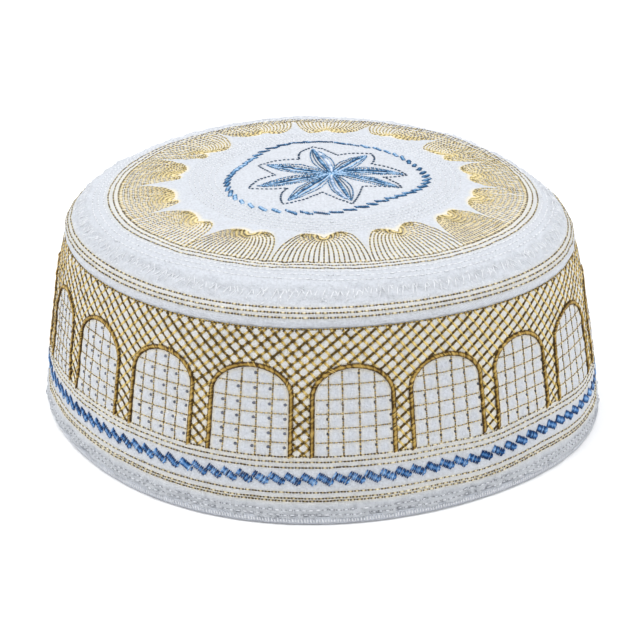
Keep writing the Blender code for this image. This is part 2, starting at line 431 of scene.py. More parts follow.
class Panel:
    """A turned piece of cloth, with the dips that its stitches press into it."""

    CELL = 0.3             # size of a cell of the relief map
    MARGIN = 4             # cells of the map beyond the ends of the section
    STEP = 0.05            # step of the finite differences for a normal
    SAMPLES = 8            # places on each part of a stitch that press the map

    def __init__(self, section, round_map=False, rough_strip=None):
        """A round map shows the whole disc of the crown, and any other one wraps around."""
        points = np.array(section)
        knots = running_length(np.hypot(*np.diff(points, axis=0).T))
        self.length = knots[-1]
        self.downs = np.linspace(0.0, self.length, 1200)
        self.radii = monotone(knots, points[:, 0], self.downs)
        self.heights = monotone(knots, points[:, 1], self.downs)
        self.mean_radius = float(self.radii.mean())
        self.round_map = round_map
        self.rough_strip = rough_strip
        self.middle = self.length / self.CELL + self.MARGIN
        across = 2 * self.MARGIN + 1
        shape = (int(self.length / self.CELL) + across, int(math.tau * self.mean_radius / self.CELL))
        if round_map:
            shape = (int(2 * self.length / self.CELL) + across,) * 2
        self.thread = np.zeros(shape)
        self.gold_thread = np.zeros(shape)
        self.grid = None

    def section(self, down):
        """Radius and height at a length down the section, which runs on straight past its ends."""
        beyond, before = np.maximum(down - self.length, 0.0), np.minimum(down, 0.0)
        profile = np.stack([self.radii, self.heights])
        start, end = (step / np.hypot(*step) for step in np.diff(profile).T[[0, -1]])
        return [
            np.interp(down, self.downs, profile[k]) + beyond * end[k] + before * start[k] for k in (0, 1)
        ]

    def base(self, angle, down):
        radius, height = self.section(down)
        return place(radius, height, np.radians(angle - 90.0))

    def normal(self, angle, down):
        """Outward unit normals of the plain form."""
        turn = np.degrees(self.STEP / np.maximum(self.section(down)[0], 1.0))
        across = self.base(angle + turn, down) - self.base(angle - turn, down)
        along = self.base(angle, down + self.STEP) - self.base(angle, down - self.STEP)
        return unit(np.cross(along, across))

    def cells(self, angle, down):
        """Row and column in the relief map."""
        if self.round_map:
            theta = np.radians(angle - 90.0)
            return [self.middle + down * way(theta) / self.CELL for way in (np.sin, np.cos)]
        return down / self.CELL + self.MARGIN, np.mod(angle, 360.0) / 360.0 * self.thread.shape[1]

    def press(self, runs, gold):
        """Add the thread of these runs to the maps, in millimetres of thread in each cell."""
        for run in runs:
            gaps = np.linalg.norm(np.diff(self.base(run.angle, run.down), axis=1), axis=-1) / self.SAMPLES
            for share in np.arange(self.SAMPLES) / self.SAMPLES:
                rows, columns = self.cells(
                    run.angle[:, :-1] + share * np.diff(run.angle, axis=1),
                    run.down[:, :-1] + share * np.diff(run.down, axis=1),
                )
                rows = np.clip(np.round(rows).astype(int), 0, self.thread.shape[0] - 1)
                columns = np.round(columns).astype(int) % self.thread.shape[1]
                np.add.at(self.thread, (rows, columns), gaps * run.press)
                if gold:
                    np.add.at(self.gold_thread, (rows, columns), gaps)

    def blur(self, picture, spread):
        """Blur a map by a spread in millimetres; it wraps around sideways or ends in zeros."""
        spread = spread / self.CELL
        reach = int(4 * spread) + 1
        aside = reach if self.round_map else 0
        padded = np.pad(picture, ((reach, reach), (aside, aside)))
        rows, columns = (np.fft.fftfreq(size) for size in padded.shape)
        fall = -2.0 * (math.pi * spread) ** 2
        filtered = np.fft.fft2(padded) * np.exp(fall * rows[:, None] ** 2) * np.exp(fall * columns ** 2)
        return np.real(np.fft.ifft2(filtered))[reach:-reach, aside:padded.shape[1] - aside]

    def settle_relief(self):
        """Turn the thread maps into the cloth's relief, and into the glow of the gold on it."""
        self.dip_map, swell_map = (
            np.tanh(self.blur(self.thread / self.CELL ** 2, spread) * spread * math.sqrt(math.tau))
            for spread in (DIP_SPREAD, SWELL_SPREAD)
        )
        self.relief_map = SWELL * (1.0 - swell_map) - DIP * self.dip_map
        for spread, height in ROUGHNESS:
            noise = self.blur(random.normal(0.0, 1.0, self.thread.shape), spread)
            self.relief_map += height * noise / noise.std() * self.roughness()
        gold = np.maximum(self.blur(self.gold_thread / self.CELL ** 2, GLOW_SPREAD), 0.0)
        self.warm_map = np.clip(GLOW_GAIN * gold ** GLOW_POWER, 0.0, 1.0)

    def roughness(self):
        """How much rougher than elsewhere the cloth is in the cells of its plain worked strip."""
        rows, columns = np.indices(self.thread.shape)
        down = (rows - self.MARGIN) * self.CELL
        if self.round_map:
            down = np.hypot(rows - self.middle, columns - self.middle) * self.CELL
        low, high = self.rough_strip
        return 1.0 + ROUGH_GAIN * (ramp(down, low, 1.0) * ramp(-down, -high, 1.0))

    def read(self, picture, angle, down):
        return between_cells(picture, *self.cells(angle, down))

    def lay_grid(self, downs, columns):
        """Fix the rows and columns of the cloth's mesh and the heights of its points."""
        angle, down = np.meshgrid(np.arange(columns) * 360.0 / columns, downs)
        self.grid_downs = downs
        self.grid = self.read(self.relief_map, angle, down) + unevenness(self, angle, down)

    def relief(self, angle, down):
        """Height of the worked cloth above the plain form, as its mesh has it."""
        if self.grid is None:
            return 0.0 * angle
        row = np.interp(down, self.grid_downs, np.arange(len(self.grid_downs)))
        return between_cells(self.grid, row, np.mod(angle, 360.0) / 360.0 * self.grid.shape[1])


def unevenness(panel, angle, down):
    """Slow hand-made waves, and the few creases near the rim."""
    theta = np.radians(angle)
    if panel.round_map:
        x, y = down * np.sin(theta), -down * np.cos(theta)
        waves = 0.16 * np.sin(x / 11.0 + 0.7) * np.sin(y / 13.0 + 0.3) + 0.10 * np.sin(x / 5.1 - y / 7.3)
        creases = 0.0
        for at, width, depth in STRIP_CREASES:
            beside = from_front(angle - at) + 0.25 * (down - 88.0)
            creases = creases - depth * np.exp(-(beside / width) ** 2)
        return ramp(-down, -panel.length, 6.0) * waves + ramp(down, CREASE_START, 2.0) * creases
    waves = 0.12 * np.sin(9 * theta + 0.6 + down / 14.0) + 0.08 * np.sin(23 * theta + down / 6.0)
    return ramp(down, 0.0, 5.0) * ramp(-down, -panel.length, 3.0) * waves


crown = Panel(CROWN_SECTION, True, ROUGH_STRIP_CROWN)
band = Panel(BAND_SECTION, False, ROUGH_STRIP_BAND)
hem = Panel(HEM_FOLD)


def crown_at(x, y):
    """Angle and length down the crown of a point of its plan."""
    dx, dy = x - CENTRE_SHIFT[0], y - CENTRE_SHIFT[1]
    theta, reach = np.arctan2(dy, dx), np.hypot(dx, dy)
    widest = int(np.argmax(crown.radii))
    radius = reach
    for _ in range(8):
        down = np.interp(radius, crown.radii[:widest], crown.downs[:widest])
        height = np.interp(down, crown.downs, crown.heights)
        radius = reach - stray(theta, height) * np.minimum(1.0, radius / ROUND_RADIUS)
    return np.degrees(theta) + 90.0, down


def plan_base(x, y):
    """Points of the crown's plain form above points of its plan."""
    return crown.base(*crown_at(x, y))


# Stitches and meshes


class Run:
    """Stitches of one kind: their places on a panel and the sizes of their cross-sections."""

    def __init__(self, kind, stitches, shades=0.0):
        """The stitches are their starts and their ends; the shades add to the tone of the kind."""
        shape, in_plan, half_width, half_height, rise, self.press, uneven, tone = STITCHES[kind]
        self.along, widths, heights, lifts = (np.array(column) for column in zip(*shape))
        starts, ends = (np.asarray(points, float)[:, None] for points in stitches)
        path = starts + (ends - starts) * self.along[None, :, None]
        self.angle, self.down = path[..., 0], path[..., 1]
        if in_plan:
            angle, self.down = crown_at(self.angle, self.down)
            self.angle = np.unwrap(angle, period=360.0, axis=1)
        shades = tone + shades
        if uneven:
            shades = shades + random.normal(0.0, uneven, len(path))
        self.tone = np.clip(shades + random.normal(0.0, TONE_SPREAD, len(path)), 0.0, 1.0)
        self.width, self.height = half_width * widths, half_height * heights
        self.lift = half_height * lifts + rise * (self.along * (1 - self.along) * 4) ** 0.5


def first_corners(totals):
    return np.concatenate([[0], np.cumsum(totals)[:-1]])


def new_mesh(name, corners, loops, totals):
    """A mesh with points in millimetres and faces of three or four corners."""
    mesh = bpy.data.meshes.new(name)
    mesh.vertices.add(len(corners))
    mesh.vertices.foreach_set("co", (corners * MM).astype(np.float32).ravel())
    mesh.loops.add(len(loops))
    mesh.loops.foreach_set("vertex_index", loops.astype(np.int32))
    mesh.polygons.add(len(totals))
    mesh.polygons.foreach_set("loop_start", first_corners(totals).astype(np.int32))
    mesh.polygons.foreach_set("loop_total", totals.astype(np.int32))
    mesh.polygons.foreach_set("use_smooth", np.ones(len(totals), bool))
    mesh.update(calc_edges=True)
    return mesh


def point_attribute(mesh, name, values):
    mesh.attributes.new(name, "FLOAT", "POINT").data.foreach_set("value", values.astype(np.float32))


def map_corners(mesh, name, u, v, around=None):
    """A UV map whose corners take the values of their points; around is u's length all round."""
    loops = np.empty(len(mesh.loops), np.int32)
    mesh.loops.foreach_get("vertex_index", loops)
    corner_u = u[loops]
    if around is not None:
        totals = np.empty(len(mesh.polygons), np.int32)
        mesh.polygons.foreach_get("loop_total", totals)
        firsts = first_corners(totals)
        widths = np.maximum.reduceat(corner_u, firsts) - np.minimum.reduceat(corner_u, firsts)
        crosses = np.repeat(widths > 0.5 * around, totals)
        corner_u = corner_u + around * (crosses & (corner_u < 0.5 * around))
    layer = mesh.uv_layers.new(name=name)
    layer.data.foreach_set("uv", np.stack([corner_u, v[loops]], axis=1).astype(np.float32).ravel())


def add_piece(name, mesh, material):
    mesh.materials.append(material)
    piece = bpy.data.objects.new(name, mesh)
    bpy.context.scene.collection.objects.link(piece)
    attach(piece, "root")
    return piece


def stitch_faces(inner):
    """Corners, and corner counts, of a stitch's faces: head, walls between its rings, tail."""
    i = np.arange(SIDES)
    j = (i + 1) % SIDES
    last_ring = 1 + (inner - 1) * SIDES
    faces = [np.stack([0 * i, 1 + i, 1 + j], axis=1)]
    for a in range(1, last_ring, SIDES):
        faces.append(np.stack([a + i, a + SIDES + i, a + SIDES + j, a + j], axis=1))
    faces.append(np.stack([0 * i + last_ring + SIDES, last_ring + j, last_ring + i], axis=1))
    totals = [np.full(SIDES, part.shape[1]) for part in faces]
    return np.concatenate([part.ravel() for part in faces]), np.concatenate(totals)


def thread_piece(name, panel, runs, material):
    """One mesh of closed little stitches that lie on the worked cloth."""
    circle = heading(np.arange(SIDES) * math.tau / SIDES)
    parts = []
    count = 0
    for run in runs:
        stitches, rings = run.angle.shape
        inner = rings - 2
        size = 2 + inner * SIDES
        normal = panel.normal(run.angle, run.down)
        height = panel.relief(run.angle, run.down) + run.lift
        centre = panel.base(run.angle, run.down) + normal * height[..., None]
        tangent = np.gradient(centre, axis=1)
        side = unit(np.cross(tangent, normal))
        upward = unit(np.cross(side, tangent))
        wide = side[:, 1:-1, None] * (circle[:, :1] * run.width[1:-1, None, None])
        tall = upward[:, 1:-1, None] * (circle[:, 1:] * run.height[1:-1, None, None])
        ring = (centre[:, 1:-1, None] + wide + tall).reshape(stitches, inner * SIDES, 3)
        firsts = count + size * np.arange(stitches)
        pattern, sizes = stitch_faces(inner)
        shares = np.concatenate([[0.0], np.repeat(run.along[1:-1], SIDES), [1.0]])
        turns = np.concatenate([[0.0], np.tile(circle[:, 1], inner), [0.0]])
        parts.append((
            np.concatenate([centre[:, :1], ring, centre[:, -1:]], axis=1).reshape(-1, 3),
            (firsts[:, None] + pattern[None, :]).ravel(),
            np.tile(sizes, stitches),
            np.tile(shares, stitches),
            np.repeat(run.tone, size),
            np.tile(turns, stitches),
        ))
        count += size * stitches
    corners, loops, totals, along, tone, spread = (np.concatenate(part) for part in zip(*parts))
    mesh = new_mesh(name, corners, loops, totals)
    point_attribute(mesh, "along", along)
    point_attribute(mesh, "tone", tone)
    map_corners(mesh, "OFBake", along, 0.02 + 0.94 * tone + 0.01 * spread)
    return add_piece(name, mesh, material)


def wall_corners(rows, columns, walls):
    """Corners of the quads between neighbouring rows of points all around the cap."""
    i = np.arange(columns)
    j = (i + 1) % columns
    row = np.arange(walls)[:, None]
    a, b = row * columns, (row + 1) % rows * columns
    return np.stack([a + i, b + i, b + j, a + j], axis=-1).ravel()


def cloth_mesh(name, corners, loops, totals, values, around):
    """A cloth mesh, with values at its points: painted shade, painted warm glow, and the place in the
    weave.
    """
    mesh = new_mesh(name, corners, loops, totals)
    painted_shade, warm, u, v = values
    point_attribute(mesh, "painted_shade", painted_shade)
    point_attribute(mesh, "warm", warm)
    map_corners(mesh, "cloth_mm", u, v, around)
    return mesh


def cloth_piece(name, panel, inner_downs, material):
    """A closed piece of cloth: the worked outer face, and the plain inner face under it."""
    has_middle = int(panel.round_map)     # the crown's faces end in a point instead of a row
    columns = panel.grid.shape[1]
    angle = np.arange(columns) * 360.0 / columns
    outer_angle, outer_down = np.meshgrid(angle, panel.grid_downs[has_middle:])
    inner_angle, inner_down = np.meshgrid(angle, inner_downs[:len(inner_downs) - has_middle])
    heights = panel.grid[has_middle:, :, None]
    outside = panel.base(outer_angle, outer_down) + panel.normal(outer_angle, outer_down) * heights
    inside = panel.base(inner_angle, inner_down) - CLOTH * panel.normal(inner_angle, inner_down)
    # Painted shade: in the dips under the stitches, on the crown's rough shoulder strip, and growing
    # towards the band's hem
    shade = 0.55 * panel.read(panel.dip_map, outer_angle, outer_down)
    if panel.round_map:
        low, high = panel.rough_strip
        shade = shade + 0.3 * ramp(outer_down, low, 3.0) * ramp(-outer_down, -high, 1.5)
    else:
        shade = shade + 0.6 * ramp(outer_down, 50.0, 8.0)
    painted_shade = np.concatenate([np.clip(shade, 0.0, 1.0), 0.0 * inner_angle])
    warm = np.concatenate([panel.read(panel.warm_map, outer_angle, outer_down), 0.0 * inner_angle])
    turn = np.radians(np.concatenate([outer_angle, inner_angle]))
    v = np.concatenate([outer_down, inner_down])
    u, around = turn * panel.mean_radius, math.tau * panel.mean_radius
    if panel.round_map:
        u, v, around = v * np.sin(turn), -v * np.cos(turn), None
    corners = np.concatenate([outside, inside]).reshape(-1, 3)
    values = [part.ravel() for part in (painted_shade, warm, u, v)]
    rows = len(turn)
    walls = rows - has_middle
    loops, totals = wall_corners(rows, columns, walls), np.full(walls * columns, 4)
    if has_middle:
        i = np.arange(columns)
        j = (i + 1) % columns
        end, top = walls * columns, rows * columns
        centre = panel.base(np.zeros(1), np.zeros(1))
        raised = centre + (0.0, 0.0, float(panel.grid[0].mean()))
        corners = np.concatenate([corners, raised, centre - (0.0, 0.0, CLOTH)])
        upper_fan = np.stack([0 * i + top, i, j], axis=1).ravel()
        lower_fan = np.stack([0 * i + top + 1, end + j, end + i], axis=1).ravel()
        loops = np.concatenate([loops, upper_fan, lower_fan])
        totals = np.concatenate([totals, np.full(2 * columns, 3)])
        values = [np.concatenate([part, [0.0, 0.0]]) for part in values]
    return add_piece(name, cloth_mesh(name, corners, loops, totals, values, around), material)


def binding_piece(name, material):
    """The folded strip at the hem: a closed section turned around the cap."""
    columns = 720
    rows = len(HEM_SECTION)
    section = np.array(HEM_SECTION)
    radius, angle = np.meshgrid(section[:, 0], np.arange(columns) * 360.0 / columns, indexing="ij")
    height = np.repeat(section[:, 1:], columns, axis=1)
    wave = 0.06 * np.sin(np.radians(angle) * 41.0) * (radius > HEM_RADIUS - 1.0)
    points = place(radius + wave, height, np.radians(angle - 90.0))
    plain = np.zeros(rows * columns)
    u = (angle * math.pi / 180.0 * HEM_RADIUS).ravel()
    v = np.repeat(np.arange(rows) * 1.5, columns)
    loops, totals = wall_corners(rows, columns, rows), np.full(rows * columns, 4)
    around = math.tau * HEM_RADIUS
    mesh = cloth_mesh(name, points.reshape(-1, 3), loops, totals, (plain, plain, u, v), around)
    return add_piece(name, mesh, material)


# Lines of stitches


def at_lengths(line, lengths, at):
    """Points at some lengths along a line."""
    return np.stack([np.interp(at, lengths, column) for column in line], axis=1)


def dashes(base, line, pitch, gap):
    """Starts and ends of running stitches along a line, which base turns into points of the cap."""
    lengths = running_length(np.linalg.norm(np.diff(base(*line), axis=0), axis=1))
    count = max(1, int(round(lengths[-1] / pitch)))
    edges = np.linspace(0.0, lengths[-1], count + 1)
    edges[1:-1] += random.normal(0.0, 0.05 * pitch, count - 1)
    first, last = edges[:-1] + 0.5 * gap, edges[1:] - 0.5 * gap
    return at_lengths(line, lengths, first), at_lengths(line, lengths, last)


def follow(line, lengths, at, reach):
    """Points at some lengths along a line, and the way that it runs there."""
    points, ahead, behind = (at_lengths(line, lengths, at + step) for step in (0.0, reach, -reach))
    return points, ahead - behind


def ring_line(down, start=0.0):
    """A line all the way around the band or the rim, at one length down."""
    angle = np.linspace(start, start + 360.0, 1441)
    return angle, down + 0.0 * angle


def join(pairs):
    starts, ends = zip(*pairs)
    return np.concatenate(starts), np.concatenate(ends)


def plan_dashes(lines, pitch, gap):
    """Running stitches along lines in the crown's plan."""
    return join([dashes(plan_base, line, pitch, gap) for line in lines])


# Patterns on the side band


def arches():
    """Left and right leg of every arch, in degrees."""
    right = FRONT_ARCHES[-1][1]
    gap = FRONT_ARCHES[0][0] + 360.0 - right
    width = (gap - (BACK_ARCHES + 1) * BACK_COLUMN) / BACK_ARCHES
    lefts = [right + BACK_COLUMN + i * (width + BACK_COLUMN) for i in range(BACK_ARCHES)]
    return list(FRONT_ARCHES) + [(left, left + width) for left in lefts]


ALL_ARCHES = arches()


def mm_per_degree(down):
    return np.interp(down, band.downs, band.radii) * math.pi / 180.0


def arch_down(arch, angle, margin=0.0, degrees_margin=0.0):
    """Length down the band of the arch's round top at an angle, or a large value beside it."""
    left, right = arch
    share = (angle - 0.5 * (left + right)) / (0.5 * (right - left) + degrees_margin)
    rise = (ARCH_SPRING - ARCH_TOP + margin) * np.sqrt(np.clip(1.0 - share ** 2, 0.0, 1.0))
    return np.where(np.abs(share) < 1.0, ARCH_SPRING - rise, 1e6)


def row_drop(angle):
    """Drop of the lower rows, smooth between the places measured in front."""
    places, drops = np.array(ROW_DROPS, float).T
    return monotone(places, drops, np.clip(from_front(angle), -90.0, 90.0))


# Tone of the gold rows at an angle: painted sheen that follows how the light falls on the thread
def row_painted_sheen(angle):
    return np.interp(from_front(angle), *np.array(ROW_SHEEN_TONES, float).T)


def row_dashes(rows, drop_share, gap):
    """Running stitches along rows that follow a share of the lower rows' drop."""
    pairs = []
    for row in rows:
        angle, down = ring_line(row, random.uniform(0, 5))
        pairs.append(dashes(band.base, (angle, down + drop_share * row_drop(angle)), ROW_PITCH, gap))
    return join(pairs)


def lattice_place(column, row):
    """Angle and down of a crossing of the slanted lattice."""
    angle = column * (360.0 / LATTICE_COLUMNS)
    wave_turn = np.radians(angle + LATTICE_TURN)
    down = row * LATTICE_ROW - LATTICE_WAVE * np.cos(wave_turn)
    lean = -LATTICE_SLOPE * np.sin(wave_turn) * (down - LATTICE_PIVOT)
    return angle + lean / mm_per_degree(np.clip(down, 0.0, ARCH_FOOT)), down


def in_lattice(angle, down):
    """Whether places lie in the ground that the lattice fills."""
    inside = (down > 0.5) & (down < ARCH_FOOT)
    for arch in ALL_ARCHES:
        middle = 0.5 * (arch[0] + arch[1])
        near = middle + from_front(angle - middle)
        inside &= ~(down > arch_down(arch, near, LATTICE_MARGIN, LATTICE_MARGIN / 1.55))
    return inside


def lattice_stitches():
    """Stitches between the crossings, trimmed at the arches' cords, and which of them fall."""
    grids = np.meshgrid(np.arange(LATTICE_COLUMNS), np.arange(-8, 20))
    column, row = (grid.ravel().astype(float) for grid in grids)
    pairs, falls = [], []
    for shift in (0.0, 0.5):
        for step in (0.5, -0.5):
            here = lattice_place(column + shift, row + shift)
            there = lattice_place(column + shift + step, row + shift + 0.5)
            pairs.append((np.stack(here, 1), np.stack(there, 1)))
            falls.append(np.full(len(column), step > 0.0))
    starts, ends = join(pairs)
    jitter = random.normal(0.0, 0.06, (len(starts), 4))
    reach_on = LATTICE_OVERLAP * (ends - starts)
    starts = starts - reach_on + jitter[:, :2] * (0.6, 1.0)
    ends = ends + reach_on + jitter[:, 2:] * (0.6, 1.0)
    shares = np.linspace(0.0, 1.0, 15)
    path = starts[:, None] + (ends - starts)[:, None] * shares[None, :, None]
    inside = in_lattice(path[..., 0], path[..., 1])
    first = np.argmax(inside, axis=1)
    last = len(shares) - 1 - np.argmax(inside[:, ::-1], axis=1)
    index = np.flatnonzero(inside.any(axis=1) & (last - first >= 3))
    return path[index, first[index]], path[index, last[index]], np.concatenate(falls)[index]


def lattice_shades(angle, falls):
    """Shades of the lattice: bright on the threads that catch the light, dark on the others."""
    turn = from_front(angle)
    far = ramp(np.abs(turn), 50.0, 30.0)
    side = np.clip(1.5 * np.sin(np.radians(turn + 11.0)), -1.0, 1.0) * (1.0 - 0.4 * far)
    shades = 0.07 * far + 0.31 * np.where(falls, side, -side)
    shades -= 0.02 * np.exp(-((turn + 20.0) / 15.0) ** 2)
    return shades + 0.05 * ramp(turn, 0.0, 40.0)


def arch_cord(arch, pitch=0.44, half_width=0.84, slant=0.66):
    """Slanted satin stitches from an arch's left foot over the top to its right foot."""
    left, right = arch
    turn = np.linspace(math.pi, 0.0, 61)
    over = 0.5 * (left + right) + 0.5 * (right - left) * np.cos(turn)
    angle = np.concatenate([[left], over, [right]])
    round_top = ARCH_SPRING - (ARCH_SPRING - ARCH_TOP) * np.sin(turn)
    down = np.concatenate([[ARCH_FOOT], round_top, [ARCH_FOOT]])
    lengths = running_length(np.hypot(np.diff(angle) * mm_per_degree(down)[1:], np.diff(down)))
    at = np.arange(0.5 * pitch, lengths[-1], pitch)
    middle, way = follow((angle, down), lengths, at, 0.4)
    scale = np.stack([mm_per_degree(middle[:, 1]), np.ones(len(at))], axis=1)
    tangent = unit(way * scale)
    reach = left_of(tangent) * half_width + tangent * slant
    reach = reach * (1.0 + random.normal(0.0, 0.05, (len(at), 1))) / scale
    return middle - reach, middle + reach


def grid_stitches(pitch=1.45, gap=0.12):
    """Dashed grid lines inside every arch: the upright ones and the level ones."""
    upright, level = [], []
    for arch in ALL_ARCHES:
        left, right = arch
        for share in GRID_SHARES:
            angle = left + share * (right - left) + random.normal(0.0, 0.08)
            down = np.linspace(float(arch_down(arch, angle)) + 0.9, ARCH_FOOT, 40)
            lean = random.normal(0.0, 0.06)
            line = (angle + lean * (down - 28.0) / 12.0, down)
            upright.append(dashes(band.base, line, pitch, gap))
        for row in GRID_ROWS:
            angle = np.linspace(left, right, 121)
            angle = angle[arch_down(arch, angle) < row - 0.3][4:-4]
            level.append(dashes(band.base, (angle, row + 0.0 * angle), pitch, gap))
    return join(upright), join(level)


def eyelets(indices):
    """Painted shadow in small needle eyes left of the grid's upright lines, in some of the arches."""
    marks = []
    for index in indices:
        left, right = ALL_ARCHES[index]
        shift = EYELET_SHIFTS.get(index, EYELET_SHIFT)
        uprights = [left + share * (right - left) for share in GRID_SHARES] + [right - 0.6]
        for row in GRID_ROWS:
            inner = uprights[1:4] if row == GRID_ROWS[0] else uprights
            marks += [(upright + shift, row + 1.6) for upright in inner]
        marks.append((uprights[2] + shift, GRID_ROWS[0] - 3.2))
    marks = np.array(marks)
    return marks - (0.10, 0.48), marks + (0.10, 0.48)


def zigzag_stitches():
    """Slanted blocks of blue stitches in a saw-tooth row, with a link between neighbours."""
    scale = mm_per_degree(ZIGZAG_ROW)
    width, height = ZIGZAG_SIZE
    reach_x, reach_y = ZIGZAG_REACH
    starts, ends = [], []
    for centre in ZIGZAG_START + 360.0 / ZIGZAG_BLOCKS * np.arange(ZIGZAG_BLOCKS):
        level = ZIGZAG_ROW + float(row_drop(centre))
        size = 1.0 + random.normal(0.0, 0.05)
        for share in np.linspace(-0.5, 0.5, STRANDS):
            x, y = share * width * size, level + share * height * size
            jitter = random.normal(0.0, 0.07, 4)
            starts.append((centre + (x - reach_x + jitter[0]) / scale, y - reach_y + jitter[1]))
            ends.append((centre + (x + reach_x + jitter[2]) / scale, y + reach_y + jitter[3]))
        starts.append((centre + 2.15 / scale, level + 1.85))
        ends.append((centre + 2.75 / scale, level + 0.35))
    return starts, ends


# Patterns on the crown


def gold_ring(turn):
    """Plan radius of the outermost gold ring, about its own centre."""
    return 68.6 + 2.2 * np.cos(2 * turn) - 0.65 * np.sin(3 * turn)


def plan_ring(middle, radius, step=0.0):
    """Plan line of a ring whose radius is a number or a function of the angle."""
    turn = np.linspace(0.0, math.tau, 721)
    reach = (radius(turn) if callable(radius) else radius + 0.0 * turn) + step
    return (middle + reach[:, None] * heading(turn)).T


def about_pattern(turn, reach):
    """Plan x and y at an angle in degrees and a reach about the middle of the pattern."""
    angle = np.radians(turn)
    return PATTERN_MIDDLE[0] + reach * np.cos(angle), PATTERN_MIDDLE[1] + reach * np.sin(angle)


def ring_reach(turn):
    """Reach of the innermost gold ring about the middle of the pattern."""
    reach = 65.0
    for _ in range(4):
        x, y = about_pattern(turn, reach)
        dx, dy = x - GOLD_RING_MIDDLE[0], y - GOLD_RING_MIDDLE[1]
        reach += float(gold_ring(math.atan2(dy, dx))) + GOLD_RING_STEPS[-1] - math.hypot(dx, dy)
    return reach


def shell_lines(shell, shares, start=0.0):
    """Plan lines of a shell, which rise from the ring and bend over into the notch."""
    low, high, notch, notch_reach, *lobes = shell
    steps = np.linspace(start, 1.0, 25)
    weights = ((1 - steps) ** 3, 3 * steps * (1 - steps) ** 2, 3 * steps ** 2 * (1 - steps), steps ** 3)
    lines = []
    for share in shares:
        foot = 0.5 * (low + high) + 0.5 * share * (high - low)
        foot_reach = ring_reach(foot)
        edge, lobe, lobe_reach = (low, *lobes[:2]) if foot < notch else (high, *lobes[2:])
        aside = foot - notch
        span = aside / (edge - notch)
        bend = np.clip(3.5 * (lobe - notch) / (edge - notch), 0.5, 0.85)
        top_reach = (lobe_reach - 5.5 - 0.512 * notch_reach) / 0.384
        weight = span ** 1.25
        turned = notch + aside * (1.0 - (1.0 - bend) * span)
        turns = (foot, foot + 0.04 * aside, turned, notch + 0.07 * aside)
        reaches = (
            foot_reach,
            foot_reach + (notch_reach - foot_reach) * (0.4 + 0.35 * span),
            (notch_reach + 5.0) * (1.0 - weight) + top_reach * weight,
            notch_reach + 0.8 * (1.0 - span),
        )
        turn, reach = (sum(w * v for w, v in zip(weights, values)) for values in (turns, reaches))
        lines.append(about_pattern(turn, reach))
    return lines


def swelling(start, end, swell, steps):
    """Line from start to end that swells out to its left."""
    start, end = np.array(start), np.array(end)
    peak = 0.5 * (start + end) + swell * unit(left_of(end - start))
    steps = np.asarray(steps)[:, None]
    return (start * (1 - steps) ** 2 + peak * 2 * steps * (1 - steps) + end * steps ** 2).T


def flower_outline():
    """Line that follows all petals, clockwise."""
    lines = []
    steps = np.linspace(0.0, 1.0, 20)
    for i, (tip_x, tip_y, before, notch_x, notch_y, after) in enumerate(PETALS):
        lines.append(swelling(PETALS[i - 1][3:5], (tip_x, tip_y), before, steps))
        lines.append(swelling((tip_x, tip_y), (notch_x, notch_y), after, steps))
    return np.concatenate(lines, axis=1)


def leaf_line(leaf, swell, first, last=1.0):
    """Line from the middle of the flower to a leaf's tip, swelling to the left."""
    return swelling(FLOWER_MIDDLE, leaf[:2], swell, np.linspace(first, last, 30))


def satin_band(line, half_width, pitch=0.46, slant=0.7):
    """Satin stitches across a plan line, widest at its middle, slanted towards its end."""
    lengths = running_length(np.hypot(*np.diff(line)))
    at = np.arange(0.4 * pitch, lengths[-1], pitch)
    middle, way = follow(line, lengths, at, 0.5)
    tangent = unit(way)
    share = at / lengths[-1]
    width = half_width * np.sin(math.pi * np.clip(0.08 + 0.86 * share, 0.0, 1.0)) ** 0.6
    width = width * (1.0 + random.normal(0.0, 0.1, len(at)))
    reach = (left_of(tangent) + slant * tangent) * width[:, None]
    return middle - reach, middle + reach


def blue_ring_stitches():
    """Leaning blocks of blue satin around the flower, and their tones."""
    places, shades, leans = np.array(BLUE_RING_TONES, float).T
    starts, ends, tones = [], [], []
    for block in range(BLUE_RING_BLOCKS):
        turn = math.tau * (block + 0.35) / BLUE_RING_BLOCKS
        turn -= 0.10 * math.sin(2.0 * turn)
        degrees = math.degrees(turn) % 360.0
        reach = BLUE_RING_RADIUS
        for lobes, cos_size, sin_size in BLUE_RING_WAVES:
            reach += cos_size * math.cos(lobes * turn) + sin_size * math.sin(lobes * turn)
        centre = BLUE_RING_MIDDLE + reach * heading(turn)
        lean = turn + math.pi / 2 - math.radians(np.interp(degrees, places, leans))
        long_way, short_way = heading(lean), heading(lean + math.radians(118.0))
        tone = np.interp(degrees, places, shades) + random.normal(0.0, 0.05)
        length = (4.1 - math.cos(turn) ** 2) * (1.0 + random.normal(0.0, 0.08))
        for share in np.linspace(-0.5, 0.5, STRANDS):
            middle = centre + long_way * share * length
            half = short_way * (0.98 * (1.0 - 0.6 * share ** 2)) * (1.0 + random.normal(0.0, 0.1))
            starts.append(middle - half)
            ends.append(middle + half)
            tones.append(tone + random.normal(0.0, 0.1))
    return starts, ends, np.array(tones)


def shoulder_stitches():
    """White zigzag and scattered short stitches on the plain shoulder of the crown."""
    starts, ends = [], []
    for k in range(SHOULDER_STROKES):
        at = (k + random.normal(0.0, 0.12)) * 360.0 / SHOULDER_STROKES
        top, foot = 77.3 + random.normal(0.0, 0.3), 81.6 + random.normal(0.0, 0.3)
        starts.append((at + 0.7, top))
        ends.append((at - 0.4, foot))
        if k % 3:
            starts.append((at + 0.7, top + 0.1))
            ends.append((at + 1.4, 0.5 * (top + foot) + 0.6))
    for _ in range(SHOULDER_SCATTER):
        at, down = random.uniform(0.0, 360.0), random.uniform(76.4, 82.6)
        starts.append((at, down))
        ends.append((at + random.normal(0.0, 0.35), down + random.uniform(0.8, 1.5)))
    return starts, ends


